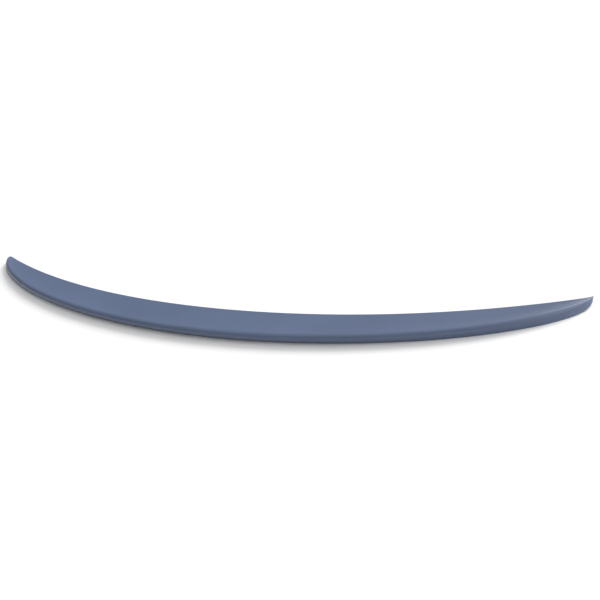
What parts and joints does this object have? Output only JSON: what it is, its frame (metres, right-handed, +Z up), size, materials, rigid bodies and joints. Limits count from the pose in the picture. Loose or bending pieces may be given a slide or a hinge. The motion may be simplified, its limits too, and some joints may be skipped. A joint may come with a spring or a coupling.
{
  "type": "car rear spoiler",
  "caption": "Slim painted lip spoiler for a boot lid: a swept crescent with a thin front edge, a round rear lip over an undercut face and an open ribbed underside.",
  "frame": {"origin": "middle of the bounding box in plan, on the plane that the rear foot rests on", "axes": "+X across the car, +Y towards the front of the car, +Z up; the round lip faces -Y"},
  "size_m": [1.13, 0.1866, 0.019],
  "materials": {
    "painted_plastic": "satin slate blue paint on moulded ABS"
  },
  "bodies": {
    "root": {"spoiler": "painted_plastic"}
  },
  "joints": []
}
